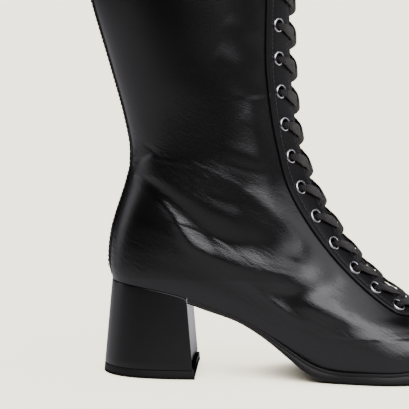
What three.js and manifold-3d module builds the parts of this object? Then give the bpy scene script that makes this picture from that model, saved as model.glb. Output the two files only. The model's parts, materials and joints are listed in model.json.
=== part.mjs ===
// Heeled lace-up boot for the right foot, in millimetres, +Z up and +X towards the toe.
// The lateral side faces -Y. While the boot is drawn, x is measured from the back edge of
// the heel seat; the finished group is shifted so that the origin is the centre of the
// heel's resting face on the floor.
import * as THREE from 'three';
import { mergeVertices } from 'three/addons/utils/BufferGeometryUtils.js';
import Module from 'manifold-3d';

const wasm = await Module();
wasm.setup();

// Driving sizes of the foot and the shaft
const soleLength = 240; // back of the heel seat to the toe tip, along the floor
const ballWidth = 82; // upper at the ball, where it meets the sole
const seatWidth = 53; // upper at the heel seat, where it meets the heel
const heelHeight = 60; // floor to the back edge of the heel seat
const ankleRise = 86; // heel seat to the narrowest section of the ankle
const bootHeight = 300; // floor to the collar
const collarDepth = 136; // collar from back to front
const collarWidth = 108; // collar from side to side
const lastCurve = 4; // how far the toe swings towards the big toe

// Driving sizes of the walls
const upperWall = 2.4; // upper leather with its lining
const facingWall = 1.2; // overlay that carries the eyelets
const stripWall = 0.9; // overlay on the back seam
const tongueWall = 1.8;
const tongueFit = 0.6; // clearance between the tongue and the upper
const insoleThickness = 3;
const fit = 0.3; // clearance between pieces that touch

// Driving sizes of the sole and the heel
const soleThickness = 7.8; // outsole under the forefoot
const waistThickness = 3; // outsole under the arch
const toeSpring = 5.9; // rise of the sole's underside at the toe tip
const soleLedge = 1.6; // how far the sole stands proud of the upper at the forefoot
const ridgeDepth = 1.8; // height of the raised line along the sole's upper edge
const ridgeProud = 0.5; // how far that line stands proud of the sole's side
const edgeRound = 1; // rounding of the sole's lower edge
const waistEdge = 0.4; // how much of the rounding and the raised line is left under the arch
const ridgeShare = 0.4; // most of the sole's thickness that the raised line may take
const roundShare = 0.25; // most of the sole's thickness that the rounding may take
const ridgeSlope = 0.5; // slope under the raised line, as a share of the rounding
const topEdge = 0.8; // rounding of the heel block's upper edge
const breastX = 49.5; // front of the heel at its top
const heelBaseLength = 58.3; // heel from back to front at the floor
const heelBaseWidth = 56; // heel from side to side at the floor
const heelBackFlare = 5.5; // how far the heel leans out backwards
const breastHollow = 1.6; // depth of the hollow in the heel's front face
const topPieceThickness = 5.5; // rubber piece under the heel
const topPieceProud = 1; // how far that rubber stands proud at the heel's front

// Driving sizes of the opening and the lacing
const throatHalf = 6.5; // half the gap between the two rows of eyelets
const throatAt = 0.168; // start of the opening, as a share of the way to the collar
const throatRound = 0.03; // length of the opening's rounded end, as the same share
const eyeletReach = 16.2; // eyelet centre from the middle of the boot
const facingReach = 21.3; // outer edge of the facing from the middle of the boot
const facingStart = 0.142; // lowest point of the facing, as a share of the way to the collar
const facingTipReach = 0.35; // width of the facing's blunt lower end, as a share of its reach
const eyeletPairs = 14;
const lowPitch = 0.89; // the gaps between the lowest eyelets, as a share of the others
const lowGaps = 2; // how many gaps are that narrow
const bottomEyeletAt = 0.183; // lowest eyelet, as a share of the way to the collar
const topEyeletAt = 0.943; // highest eyelet, as the same share
const eyeletRadius = 4.8;
const eyeletHole = 2.7;
const eyeletHeight = 1;
const laceWidth = 7.4;
const laceThickness = 1.8;
const laceFlat = 0.7; // flat part of the lace between its bevels, as a share of its width
const tongueReach = 24; // half the tongue's width
const tongueTop = 7; // how far the tongue rises above the collar
const tongueCornerDrop = 0.5; // how much of that rise is missing at the tongue's corners
const tongueStart = 0.15; // lower end of the tongue, as a share of the way to the collar
const tongueCrown = 1.2; // how far the tongue swells into the opening
const stripAnkleReach = 5; // half the back strip's width at the heel and ankle
const stripCollarReach = 12; // half the back strip's width at the collar

// How finely the shapes are divided into faces
const frontColumns = 3; // from the throat to the facing's edge
const sideColumns = 18; // from the facing's edge to the back middle
const breastColumns = 4; // across half the heel's front face
const heelColumns = 8; // from the heel's front corner to its back middle
const eyeletSides = 10;
const throatRow = 0.25; // added row in the throat's rounded end, as a share of its length
const lineSteps = 1000; // steps in which the line of the eyelets is measured
const normalStep = 1e-3; // step that a direction across the surface is found with
const samePoint = 1e-4; // points nearer to each other than this are one
const flatFace = 1e-6; // a triangle with a side shorter than this is left out

// Colours and finish of the materials
const LEATHER = { color: 0x17161a, roughness: 0.38 };
const FACING_LEATHER = { color: 0x232125, roughness: 0.45 };
const LINING = { color: 0x2a2624, roughness: 0.8 };
const SOLE_RUBBER = { color: 0x1c1b1d, roughness: 0.6 };
const TOP_PIECE_RUBBER = { color: 0x141414, roughness: 0.8 };
const EYELET_METAL = { color: 0x9a9a9c, roughness: 0.3, metalness: 1 };
const LACE_FABRIC = { color: 0x1b1a1d, roughness: 0.8 };

// Sole along its length. along: share of soleLength. arch: height of the underside as a
// share of heelHeight. spring: the same as a share of toeSpring. body: 0 for the arch's
// thickness and 1 for the forefoot's.
const SOLE_LINE = [
  { along: 0, arch: 0.945, spring: 0, body: 0 },
  { along: 0.083, arch: 0.912, spring: 0, body: 0 },
  { along: 0.187, arch: 0.828, spring: 0, body: 0 },
  { along: 0.25, arch: 0.738, spring: 0, body: 0 },
  { along: 0.354, arch: 0.58, spring: 0, body: 0 },
  { along: 0.429, arch: 0.382, spring: 0, body: 0.35 },
  { along: 0.471, arch: 0.245, spring: 0, body: 0.66 },
  { along: 0.525, arch: 0.078, spring: 0, body: 1.06 },
  { along: 0.575, arch: 0.012, spring: 0, body: 1.03 },
  { along: 0.615, arch: 0, spring: 0, body: 1 },
  { along: 0.73, arch: 0, spring: 0, body: 1 },
  { along: 0.79, arch: 0, spring: 0.16, body: 1 },
  { along: 0.9, arch: 0, spring: 0.48, body: 1 },
  { along: 1, arch: 0, spring: 1, body: 1 },
];

// Places along a section, from its back (0) to its front (1), where its width is given
const STATIONS = [0, 0.15, 0.35, 0.55, 0.75, 1];

// Sections of the foot, from the sole's edge up to the ankle. Each one runs from a point on
// the back line to a point on the front line. backX and frontX: shares of soleLength. backZ:
// share of ankleRise. frontZ: share of the rise from the toe's edge to the ankle. dip: how
// much of the sole's curve the section follows. w0 and w1: share of half the seat's width.
// w2 to w5: share of half the ball's width. steps: rows of faces up to the next section.
const FOOT = [
  { backX: 0.003, backZ: 0, frontX: 1, frontZ: 0, dip: 1,
    w0: 2.075, w1: 1.408, w2: 0.663, w3: 0.798, w4: 1.154, w5: 1.293, steps: 1 },
  { backX: -0.0033, backZ: 0.116, frontX: 0.9985, frontZ: 0.053, dip: 0.92,
    w0: 2.113, w1: 1.509, w2: 0.715, w3: 0.846, w4: 1.159, w5: 1.293, steps: 2 },
  { backX: -0.0012, backZ: 0.244, frontX: 0.971, frontZ: 0.102, dip: 0.85,
    w0: 2.075, w1: 1.547, w2: 0.741, w3: 0.871, w4: 1.127, w5: 1.146, steps: 2 },
  { backX: 0.005, backZ: 0.36, frontX: 0.9125, frontZ: 0.144, dip: 0.8,
    w0: 1.962, w1: 1.566, w2: 0.766, w3: 0.871, w4: 1.088, w5: 1.024, steps: 2 },
  { backX: 0.015, backZ: 0.465, frontX: 0.826, frontZ: 0.192, dip: 0.65,
    w0: 1.887, w1: 1.566, w2: 0.793, w3: 0.846, w4: 1.085, w5: 0.95, steps: 2 },
  { backX: 0.0258, backZ: 0.558, frontX: 0.739, frontZ: 0.289, dip: 0.5,
    w0: 1.755, w1: 1.532, w2: 0.817, w3: 0.834, w4: 1, w5: 0.951, steps: 2 },
  { backX: 0.037, backZ: 0.651, frontX: 0.657, frontZ: 0.429, dip: 0.35,
    w0: 1.623, w1: 1.509, w2: 0.856, w3: 0.846, w4: 0.929, w5: 0.902, steps: 2 },
  { backX: 0.047, backZ: 0.75, frontX: 0.583, frontZ: 0.615, dip: 0.2,
    w0: 1.472, w1: 1.479, w2: 0.895, w3: 0.883, w4: 0.929, w5: 0.817, steps: 2 },
  { backX: 0.0542, backZ: 0.849, frontX: 0.525, frontZ: 0.812, dip: 0.1,
    w0: 1.34, w1: 1.453, w2: 0.907, w3: 0.907, w4: 0.929, w5: 0.78, steps: 2 },
];

// Sections of the shaft, all level. rise: share of the way from the ankle to the collar.
// middle: share of soleLength. depth: share of collarDepth. w0 to w5: share of half the
// collar's width. steps: rows of faces up to the next section.
const SHAFT = [
  { rise: 0, middle: 0.2727, depth: 0.773,
    w0: 0.624, w1: 0.681, w2: 0.689, w3: 0.704, w4: 0.75, w5: 0.602, steps: 1 },
  { rise: 0.11, middle: 0.26, depth: 0.7765,
    w0: 0.667, w1: 0.7, w2: 0.715, w3: 0.731, w4: 0.76, w5: 0.593, steps: 2 },
  { rise: 0.289, middle: 0.24, depth: 0.815,
    w0: 0.759, w1: 0.791, w2: 0.806, w3: 0.809, w4: 0.787, w5: 0.583, steps: 2 },
  { rise: 0.584, middle: 0.21, depth: 0.9,
    w0: 0.926, w1: 0.944, w2: 0.935, w3: 0.911, w4: 0.852, w5: 0.63, steps: 3 },
  { rise: 1, middle: 0.175, depth: 1,
    w0: 1.074, w1: 1.074, w2: 1.046, w3: 1, w4: 0.926, w5: 0.704, steps: 0 },
];

// Sideways swing of the foot's middle line, as shares of lastCurve from back to front
const SWING = [
  { along: 0, swing: 0 },
  { along: 0.4, swing: -0.7 },
  { along: 0.7, swing: 0 },
  { along: 1, swing: 1 },
];

// Columns of faces across the tongue, as shares of half its width
const TONGUE_COLUMNS = [-1, -0.78, -0.55, -0.3, 0, 0.3, 0.55, 0.78, 1];

// Columns of faces across the back strip, as shares of half its width
const STRIP_COLUMNS = [-1, -0.5, 0, 0.5, 1];

// Route of a lace from an eyelet down to the next one on the other side. gone: share of the
// way across. lift: height above the facing as a share of the lace's thickness.
const STRAP_ROUTE = [
  { gone: 0.18, lift: 0.66 },
  { gone: 0.31, lift: 0.74 },
  { gone: 0.48, lift: 0.35 },
  { gone: 0.62, lift: -0.6 },
];

// Smooth curve through the points (at, value); it never swings past a flat stretch
function smooth(at, value) {
  const slope = [];
  const last = at.length - 1;
  for (let i = 0; i < last; i += 1) {
    slope.push((value[i + 1] - value[i]) / (at[i + 1] - at[i]));
  }
  const tangent = at.map((_, i) => {
    if (i === 0) return slope[0];
    if (i === last) return slope[last - 1];
    if (slope[i - 1] * slope[i] <= 0) return 0;
    const before = at[i] - at[i - 1];
    const after = at[i + 1] - at[i];
    return (before * slope[i] + after * slope[i - 1]) / (before + after);
  });
  return (position) => {
    const place = Math.min(Math.max(position, at[0]), at[last]);
    let i = 0;
    while (i < last - 1 && place > at[i + 1]) i += 1;
    const width = at[i + 1] - at[i];
    const v = (place - at[i]) / width;
    return value[i] * (1 + 2 * v) * (1 - v) ** 2
      + tangent[i] * width * v * (1 - v) ** 2
      + value[i + 1] * v * v * (3 - 2 * v)
      + tangent[i + 1] * width * v * v * (v - 1);
  };
}

// Sole's underside and the line where the upper meets the sole, by x
const soleAt = SOLE_LINE.map((row) => row.along * soleLength);
const undersideZ = smooth(soleAt, SOLE_LINE.map((row) => row.arch * heelHeight + row.spring * toeSpring));
const bodyAt = smooth(soleAt, SOLE_LINE.map((row) => row.body));
const featherZ = (x) => undersideZ(x) + waistThickness
  + (soleThickness - waistThickness) * bodyAt(x) + fit;

// Sections in millimetres
const ankleZ = heelHeight + ankleRise;
const toeEdgeZ = featherZ(soleLength);
const WIDTHS = ['w0', 'w1', 'w2', 'w3', 'w4', 'w5'];
const sections = [
  ...FOOT.map((row) => ({
    backX: row.backX * soleLength,
    backZ: heelHeight + row.backZ * ankleRise,
    frontX: row.frontX * soleLength,
    frontZ: toeEdgeZ + row.frontZ * (ankleZ - toeEdgeZ),
    dip: row.dip,
    widths: WIDTHS.map((name, i) => row[name] * (i < 2 ? seatWidth : ballWidth) / 2),
    steps: row.steps,
  })),
  ...SHAFT.map((row) => {
    const z = ankleZ + row.rise * (bootHeight - ankleZ);
    return {
      backX: row.middle * soleLength - row.depth * collarDepth / 2,
      backZ: z,
      frontX: row.middle * soleLength + row.depth * collarDepth / 2,
      frontZ: z,
      dip: 0,
      widths: WIDTHS.map((name) => row[name] * collarWidth / 2),
      steps: row.steps,
    };
  }),
];

// Place of each section on the way from the sole (0) to the collar (1), by the mean length
// of the back line and the front line
const travelled = [0];
for (let i = 1; i < sections.length; i += 1) {
  const a = sections[i - 1];
  const b = sections[i];
  const back = Math.hypot(b.backX - a.backX, b.backZ - a.backZ);
  const front = Math.hypot(b.frontX - a.frontX, b.frontZ - a.frontZ);
  travelled.push(travelled[i - 1] + (back + front) / 2);
}
const wayLength = travelled[travelled.length - 1];
const sectionAt = travelled.map((length) => length / wayLength);
const along = (name) => smooth(sectionAt, sections.map((section) => section[name]));
const lines = {
  backX: along('backX'),
  backZ: along('backZ'),
  frontX: along('frontX'),
  frontZ: along('frontZ'),
  dip: along('dip'),
  widths: STATIONS.map((_, i) => smooth(sectionAt, sections.map((section) => section.widths[i]))),
};
const swing = smooth(SWING.map((row) => row.along), SWING.map((row) => row.swing));

// Point of the upper's outer surface. angle goes round a section: 0 at the front middle,
// a quarter turn at the lateral side, half a turn at the back middle. way goes from the sole
// (0) to the collar (1). The section is an ellipse whose half width changes along it, and
// its height follows the sole's curve by its dip.
function surface(angle, way) {
  const share = (1 + Math.cos(angle)) / 2;
  const backX = lines.backX(way);
  const backZ = lines.backZ(way);
  const baseX = lines.backX(0) + (lines.frontX(0) - lines.backX(0)) * share;
  const baseZ = lines.backZ(0) + (lines.frontZ(0) - lines.backZ(0)) * share;
  const dip = lines.dip(way);
  const halfWidth = smooth(STATIONS, lines.widths.map((line) => line(way)))(share);
  return new THREE.Vector3(
    backX + (lines.frontX(way) - backX) * share,
    lastCurve * dip * swing(share) - Math.sin(angle) * halfWidth,
    backZ + (lines.frontZ(way) - backZ) * share + dip * (featherZ(baseX) - baseZ),
  );
}

// Outward normal of that surface, level at the sole's edge so that the edge sits flat
function outward(angle, way) {
  const low = Math.max(way - normalStep, 0);
  const high = Math.min(way + normalStep, 1);
  const up = surface(angle, high).sub(surface(angle, low));
  const round = surface(angle + normalStep, way).sub(surface(angle - normalStep, way));
  const normal = up.cross(round);
  if (way === 0) normal.z = 0;
  return normal.normalize();
}

// Point at a height above (or, if negative, below) the upper's outer surface
function raised(angle, way, height) {
  const point = surface(angle, way).addScaledVector(outward(angle, way), height);
  if (way === 0) point.z = featherZ(point.x);
  return point;
}

// Angle at which the front of a section is a given distance from the boot's middle
function angleFor(reach, way) {
  return Math.asin(Math.min(reach / lines.widths[STATIONS.length - 1](way), 1));
}

// Half width of the throat: nothing below its start, then a round end, then parallel edges
function throatReach(way) {
  const open = Math.min(Math.max((way - throatAt) / throatRound, 0), 1);
  return throatHalf * Math.sqrt(open * (2 - open));
}
const throatAngle = (way) => angleFor(throatReach(way), way);

// Rows of faces from the sole to the collar, with more of them round the facing's lower end
// and round the start of the throat
const upperRows = [];
for (let i = 0; i < sections.length - 1; i += 1) {
  for (let k = 0; k < sections[i].steps; k += 1) {
    upperRows.push(sectionAt[i] + (sectionAt[i + 1] - sectionAt[i]) * k / sections[i].steps);
  }
}
upperRows.push(facingStart, tongueStart, (tongueStart + throatAt) / 2, throatAt);
upperRows.push(throatAt + throatRow * throatRound, throatAt + throatRound, 1);
upperRows.sort((a, b) => a - b);

// Closed solids from quads
class Solid {
  constructor() {
    this.positions = [];
  }

  triangle(a, b, c) {
    if (Math.min(a.distanceTo(b), b.distanceTo(c), c.distanceTo(a)) < flatFace) return;
    this.positions.push(...a, ...b, ...c);
  }

  quad(a, b, c, d) {
    this.triangle(a, b, c);
    this.triangle(a, c, d);
  }

  // Sheet between an outer and an inner grid of points. Each of its four edges is closed by
  // a wall; startWall and endWall say in which rows the first and the last column have one.
  sheet(outer, inner, startWall = () => true, endWall = () => true) {
    const rows = outer.length - 1;
    const columns = outer[0].length - 1;
    for (let j = 0; j < rows; j += 1) {
      for (let i = 0; i < columns; i += 1) {
        this.quad(outer[j][i], outer[j + 1][i], outer[j + 1][i + 1], outer[j][i + 1]);
        this.quad(inner[j][i], inner[j][i + 1], inner[j + 1][i + 1], inner[j + 1][i]);
      }
      if (startWall(j)) this.quad(outer[j + 1][0], outer[j][0], inner[j][0], inner[j + 1][0]);
      if (endWall(j)) {
        this.quad(outer[j][columns], outer[j + 1][columns], inner[j + 1][columns], inner[j][columns]);
      }
    }
    for (let i = 0; i < columns; i += 1) {
      this.quad(outer[0][i], outer[0][i + 1], inner[0][i + 1], inner[0][i]);
      this.quad(outer[rows][i + 1], outer[rows][i], inner[rows][i], inner[rows][i + 1]);
    }
    return this;
  }

  // Block through closed loops of points, from the lowest to the highest. Point 0 and the
  // point half-way round lie on the middle line, and the caps join each point to its mirror.
  block(loops) {
    const count = loops[0].length;
    for (let j = 0; j < loops.length - 1; j += 1) {
      for (let i = 0; i < count; i += 1) {
        const next = (i + 1) % count;
        this.quad(loops[j][i], loops[j + 1][i], loops[j + 1][next], loops[j][next]);
      }
    }
    const bottom = loops[0];
    const top = loops[loops.length - 1];
    for (let i = 0; i < count / 2; i += 1) {
      const mirror = (count - i) % count;
      this.quad(bottom[i], bottom[i + 1], bottom[count - i - 1], bottom[mirror]);
      this.quad(top[i + 1], top[i], top[mirror], top[count - i - 1]);
    }
    return this;
  }

  geometry() {
    const loose = new THREE.BufferGeometry();
    loose.setAttribute('position', new THREE.Float32BufferAttribute(this.positions, 3));
    return mergeVertices(loose, samePoint);
  }
}

function part(name, geometry, finish) {
  geometry.computeVertexNormals();
  const mesh = new THREE.Mesh(geometry, new THREE.MeshStandardMaterial(finish));
  mesh.name = name;
  return mesh;
}

// Columns of faces round a section: narrow ones under the facing, then wider ones
function sectionAngles(way) {
  const start = throatAngle(way);
  const edge = angleFor(facingReach, way);
  const half = [];
  for (let k = 0; k < frontColumns; k += 1) half.push(start + (edge - start) * k / frontColumns);
  for (let k = 0; k < sideColumns; k += 1) half.push(edge + (Math.PI - edge) * k / sideColumns);
  return [...half, Math.PI, ...half.map((angle) => 2 * Math.PI - angle).reverse()];
}

function grid(rows, anglesAt, heightAt) {
  return rows.map((way) => anglesAt(way).map((angle) => raised(angle, way, heightAt(angle, way))));
}

// Upper: one wall from the sole's edge to the collar, open below, above and at the throat
function makeUpper() {
  const outer = grid(upperRows, sectionAngles, () => 0);
  const inner = grid(upperRows, sectionAngles, () => -upperWall);
  const split = (j) => upperRows[j] >= throatAt;
  return new Solid().sheet(outer, inner, split, split).geometry();
}

// Facing: raised overlay on both sides of the throat, joined round its lower end
const facingRows = upperRows.filter((way) => way >= facingStart);
function facingEdge(way) {
  const down = Math.max((throatAt - way) / (throatAt - facingStart), 0);
  return angleFor(facingReach * Math.sqrt(1 - (1 - facingTipReach ** 2) * down * down), way);
}

function makeFacing() {
  const solid = new Solid();
  const lateral = (way) => {
    const start = throatAngle(way);
    const step = (facingEdge(way) - start) / frontColumns;
    return Array.from({ length: frontColumns + 1 }, (_, k) => start + step * k);
  };
  const medial = (way) => lateral(way).map((angle) => 2 * Math.PI - angle).reverse();
  const split = (j) => facingRows[j] >= throatAt;
  const low = () => fit;
  const high = () => fit + facingWall;
  solid.sheet(grid(facingRows, lateral, high), grid(facingRows, lateral, low), split);
  solid.sheet(grid(facingRows, medial, high), grid(facingRows, medial, low), () => true, split);
  return solid.geometry();
}

// Back strip: overlay on the back seam, narrow at the heel and wider at the collar
function makeBackStrip() {
  const rows = upperRows.filter((way) => way > 0);
  const ankleWay = sectionAt[FOOT.length];
  const reachAt = smooth([0, ankleWay, 1], [stripAnkleReach, stripAnkleReach, stripCollarReach]);
  const angles = (way) => {
    const reach = Math.asin(reachAt(way) / lines.widths[0](way));
    return STRIP_COLUMNS.map((column) => Math.PI + column * reach);
  };
  return new Solid()
    .sheet(grid(rows, angles, () => fit + stripWall), grid(rows, angles, () => fit))
    .geometry();
}

// Tongue: sheet inside the upper behind the throat, swelling a little into it and rising
// above the collar
function makeTongue() {
  const rows = upperRows.filter((way) => way >= tongueStart);
  const angles = (way) => TONGUE_COLUMNS.map((column) => column * angleFor(tongueReach, way));
  const depth = upperWall + tongueFit;
  const swell = (angle, way) => {
    const across = Math.min(Math.abs(angle) / Math.max(throatAngle(way), normalStep), 1);
    return way <= throatAt ? 0 : tongueCrown * (1 - across * across);
  };
  const outer = grid(rows, angles, (angle, way) => swell(angle, way) - depth);
  const inner = grid(rows, angles, (angle, way) => swell(angle, way) - depth - tongueWall);
  const topZ = (column) => bootHeight + tongueTop * (1 - tongueCornerDrop * column ** 4);
  for (const sheet of [outer, inner]) {
    const top = sheet[sheet.length - 1];
    sheet.push(top.map((point, i) => point.clone().setZ(topZ(TONGUE_COLUMNS[i]))));
  }
  return new Solid().sheet(outer, inner).geometry();
}

// Outline of the upper's lower edge in plan, moved outwards by a distance
function footprint(angle, distance, x = undefined) {
  const point = raised(angle, 0, distance);
  return new THREE.Vector2(x ?? point.x, point.y);
}

const breastAngle = Math.acos(2 * (breastX - lines.backX(0)) / (lines.frontX(0) - lines.backX(0)) - 1);

// Angles of the sole's outline from the toe to the heel's front, those of the upper's columns
const soleAngles = [...sectionAngles(0).filter((angle) => angle < breastAngle - normalStep), breastAngle];

// Outsole: from the heel's front to the toe, thin under the arch, with a raised line along
// its upper edge and a rounded lower edge
function makeOutsole() {
  const start = breastX + fit;
  const half = (turned, distance, heightAt) => soleAngles.map((angle, i) => {
    const body = bodyAt(surface(angle, 0).x);
    const x = i === soleAngles.length - 1 ? start : undefined;
    const edge = distance * (waistEdge + (1 - waistEdge) * body);
    const p = footprint(turned(angle), soleLedge * body + edge, x);
    return new THREE.Vector3(p.x, p.y, heightAt(p.x));
  });
  const ring = (distance, heightAt) => {
    const lateral = half((angle) => angle, distance, heightAt);
    const medial = half((angle) => 2 * Math.PI - angle, distance, heightAt);
    const middle = lateral[lateral.length - 1].clone().lerp(medial[medial.length - 1], 0.5);
    return [...lateral, middle, ...medial.slice(1).reverse()];
  };
  const top = (x) => featherZ(x) - fit;
  const thickness = (x) => top(x) - undersideZ(x);
  const ridge = (x) => Math.min(ridgeDepth, ridgeShare * thickness(x));
  const round = (x) => Math.min(edgeRound, roundShare * thickness(x));
  return new Solid().block([
    ring(-edgeRound, undersideZ),
    ring(0, (x) => undersideZ(x) + round(x)),
    ring(0, (x) => top(x) - ridge(x) - ridgeSlope * round(x)),
    ring(ridgeProud, (x) => top(x) - ridge(x)),
    ring(ridgeProud, top),
  ]).geometry();
}

// Insole: inside the upper, on the sole and the heel
function makeInsole() {
  const loop = (lift) => sectionAngles(0).slice(0, -1).map((angle) => {
    const p = footprint(angle, -upperWall - fit);
    return new THREE.Vector3(p.x, p.y, featherZ(p.x) + lift);
  });
  return new Solid().block([loop(0), loop(insoleThickness)]).geometry();
}

// Outline of the heel, from its top (0) to the floor (1). It widens downwards, and its front
// face is hollow.
function heelLoop(down, distance, heightAt, frontProud = 0) {
  const topLength = breastX - lines.backX(0);
  const seat = footprint(breastAngle, 0);
  const stretchX = 1 + (heelBaseLength / topLength - 1) * down;
  const stretchY = 1 + (heelBaseWidth / seatWidth - 1) * down;
  const place = (x, y) => {
    const px = lines.backX(0) - heelBackFlare * down + (x - lines.backX(0)) * stretchX;
    return new THREE.Vector3(px, y * stretchY, heightAt(x));
  };
  const front = breastX + distance + frontProud;
  const half = [];
  for (let k = 0; k < breastColumns; k += 1) {
    const across = k / breastColumns;
    half.push(place(front - breastHollow * (1 - across * across), seat.y * across));
  }
  for (let k = 0; k <= heelColumns; k += 1) {
    const angle = breastAngle + (Math.PI - breastAngle) * k / heelColumns;
    const p = footprint(angle, distance, k === 0 ? front : undefined);
    half.push(place(p.x, k === heelColumns ? 0 : p.y));
  }
  const other = half.slice(1, -1).map((p) => new THREE.Vector3(p.x, -p.y, p.z));
  return [...half, ...other.reverse()];
}

function makeHeelBlock() {
  const seatZ = (x) => featherZ(x) - fit;
  const floorZ = topPieceThickness + fit;
  const halfWay = 1 / 2;
  return new Solid().block([
    heelLoop(1 - floorZ / heelHeight, 0, () => floorZ),
    heelLoop(halfWay, 0, (x) => floorZ + (seatZ(x) - floorZ) * halfWay),
    heelLoop(topEdge / heelHeight, 0, (x) => seatZ(x) - topEdge),
    heelLoop(0, -topEdge, seatZ),
  ]).geometry();
}

function makeTopPiece() {
  return new Solid().block([
    heelLoop(1, 0, () => 0, topPieceProud),
    heelLoop(1 - topPieceThickness / heelHeight, 0, () => topPieceThickness, topPieceProud),
  ]).geometry();
}

// Places of the eyelets on the way up. They share out the line between the lowest and the
// highest one, which is measured in short steps.
function eyeletWays() {
  const wayAt = (k) => bottomEyeletAt + (topEyeletAt - bottomEyeletAt) * k / lineSteps;
  const pointAt = (k) => surface(angleFor(eyeletReach, wayAt(k)), wayAt(k));
  const gone = [0];
  for (let k = 1; k <= lineSteps; k += 1) {
    gone.push(gone[k - 1] + pointAt(k).distanceTo(pointAt(k - 1)));
  }
  const pitch = gone[lineSteps] / (eyeletPairs - 1 - lowGaps * (1 - lowPitch));
  return Array.from({ length: eyeletPairs }, (_, i) => {
    const target = pitch * (i - Math.min(i, lowGaps) * (1 - lowPitch));
    return wayAt(Math.min(gone.filter((length) => length < target).length, lineSteps));
  });
}

// Height above the upper's surface at which a flat ring clears the faces of the facing.
// side: 1 for the lateral row of eyelets and -1 for the medial one.
function seatHeight(side, way) {
  const centre = surface(side * angleFor(eyeletReach, way), way);
  const normal = outward(side * angleFor(eyeletReach, way), way);
  const next = surface(side * angleFor(eyeletReach, way + normalStep), way + normalStep);
  const wayAcross = eyeletRadius * normalStep / next.distanceTo(centre);
  const heights = [];
  for (const across of [-1, 0, 1]) {
    for (const up of [-1, 0, 1]) {
      const reach = eyeletReach + across * eyeletRadius;
      const place = way + up * wayAcross;
      const row = Math.max(facingRows.findIndex((start) => start > place), 1);
      const [low, high] = [facingRows[row - 1], facingRows[row]];
      const onFace = raised(side * angleFor(reach, low), low, fit + facingWall)
        .lerp(raised(side * angleFor(reach, high), high, fit + facingWall), (place - low) / (high - low));
      heights.push(onFace.sub(centre).dot(normal));
    }
  }
  return Math.max(...heights) + fit;
}

// Eyelet: metal ring seated on the facing
function makeEyelet(side, way) {
  const angle = side * angleFor(eyeletReach, way);
  const middle = (eyeletRadius + eyeletHole) / 2;
  const profile = [
    new THREE.Vector2(eyeletHole, 0),
    new THREE.Vector2(eyeletRadius, 0),
    new THREE.Vector2(middle, eyeletHeight),
    new THREE.Vector2(eyeletHole, 0),
  ];
  const geometry = new THREE.LatheGeometry(profile, eyeletSides);
  const turn = new THREE.Quaternion()
    .setFromUnitVectors(new THREE.Vector3(0, 1, 0), outward(angle, way));
  geometry.applyQuaternion(turn);
  const place = raised(angle, way, seatHeight(side, way));
  geometry.translate(place.x, place.y, place.z);
  geometry.deleteAttribute('normal');
  geometry.deleteAttribute('uv');
  return mergeVertices(geometry, samePoint);
}

// Lace strap along points with a width direction: a flat strap with bevelled edges
function makeStrap(points, ups) {
  const halfWidth = laceWidth / 2;
  const halfThick = laceThickness / 2;
  const section = [
    [-halfWidth, 0],
    [-halfWidth * laceFlat, halfThick],
    [halfWidth * laceFlat, halfThick],
    [halfWidth, 0],
    [halfWidth * laceFlat, -halfThick],
    [-halfWidth * laceFlat, -halfThick],
  ];
  const loops = points.map((point, i) => {
    const before = points[Math.max(i - 1, 0)];
    const after = points[Math.min(i + 1, points.length - 1)];
    const forward = after.clone().sub(before).normalize();
    const side = new THREE.Vector3().crossVectors(ups[i], forward).normalize();
    const up = new THREE.Vector3().crossVectors(forward, side);
    return section.map(([across, high]) => point.clone()
      .addScaledVector(side, across)
      .addScaledVector(up, high));
  });
  return new Solid().block(loops).geometry();
}

function toManifold(geometry) {
  const vertProperties = new Float32Array(geometry.getAttribute('position').array);
  const triVerts = new Uint32Array(geometry.getIndex().array);
  return new wasm.Manifold(new wasm.Mesh({ numProp: 3, vertProperties, triVerts }));
}

function fromManifold(manifold) {
  const { vertProperties, triVerts } = manifold.getMesh();
  const geometry = new THREE.BufferGeometry();
  geometry.setAttribute('position', new THREE.BufferAttribute(vertProperties, 3));
  geometry.setIndex(new THREE.BufferAttribute(triVerts, 1));
  return geometry;
}

// Crossing: the two straps between a pair of eyelets and the pair below it, joined where
// they meet
function makeCrossing(upperWay, lowerWay) {
  const base = facingWall + 2 * fit;
  const straps = [1, -1].map((side) => {
    const points = [];
    const ups = [];
    for (const { gone, lift } of STRAP_ROUTE) {
      const way = upperWay + (lowerWay - upperWay) * gone;
      const reach = eyeletReach * (1 - 2 * gone) * side;
      const angle = Math.sign(reach) * angleFor(Math.abs(reach), way);
      points.push(raised(angle, way, base + lift * laceThickness));
      ups.push(outward(angle, way));
    }
    return toManifold(makeStrap(points, ups));
  });
  return fromManifold(straps[0].add(straps[1]));
}

// The boot
const boot = new THREE.Group();
const restX = lines.backX(0) - heelBackFlare + heelBaseLength / 2;
boot.position.x = -restX;
boot.add(part('upper', makeUpper(), LEATHER));
boot.add(part('facing', makeFacing(), FACING_LEATHER));
boot.add(part('back_strip', makeBackStrip(), LEATHER));
boot.add(part('tongue', makeTongue(), LEATHER));
boot.add(part('insole', makeInsole(), LINING));
boot.add(part('outsole', makeOutsole(), SOLE_RUBBER));
boot.add(part('heel_block', makeHeelBlock(), LEATHER));
boot.add(part('heel_top_piece', makeTopPiece(), TOP_PIECE_RUBBER));

const ways = eyeletWays();
ways.forEach((way, i) => {
  const number = String(i + 1).padStart(2, '0');
  boot.add(part(`eyelet_lateral_${number}`, makeEyelet(1, way), EYELET_METAL));
  boot.add(part(`eyelet_medial_${number}`, makeEyelet(-1, way), EYELET_METAL));
});
for (let i = 1; i < ways.length; i += 1) {
  const number = String(i).padStart(2, '0');
  boot.add(part(`lace_crossing_${number}`, makeCrossing(ways[i], ways[i - 1]), LACE_FABRIC));
}

export default boot;
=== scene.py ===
# Heeled lace-up boot for the right foot, dressed for its picture. The boot's own sizes are in
# millimetres, with x from the back of the heel seat towards the toe, the lateral side at -y
# and z up; add_piece() turns them into the scene's metres.
import json
import math

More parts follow.
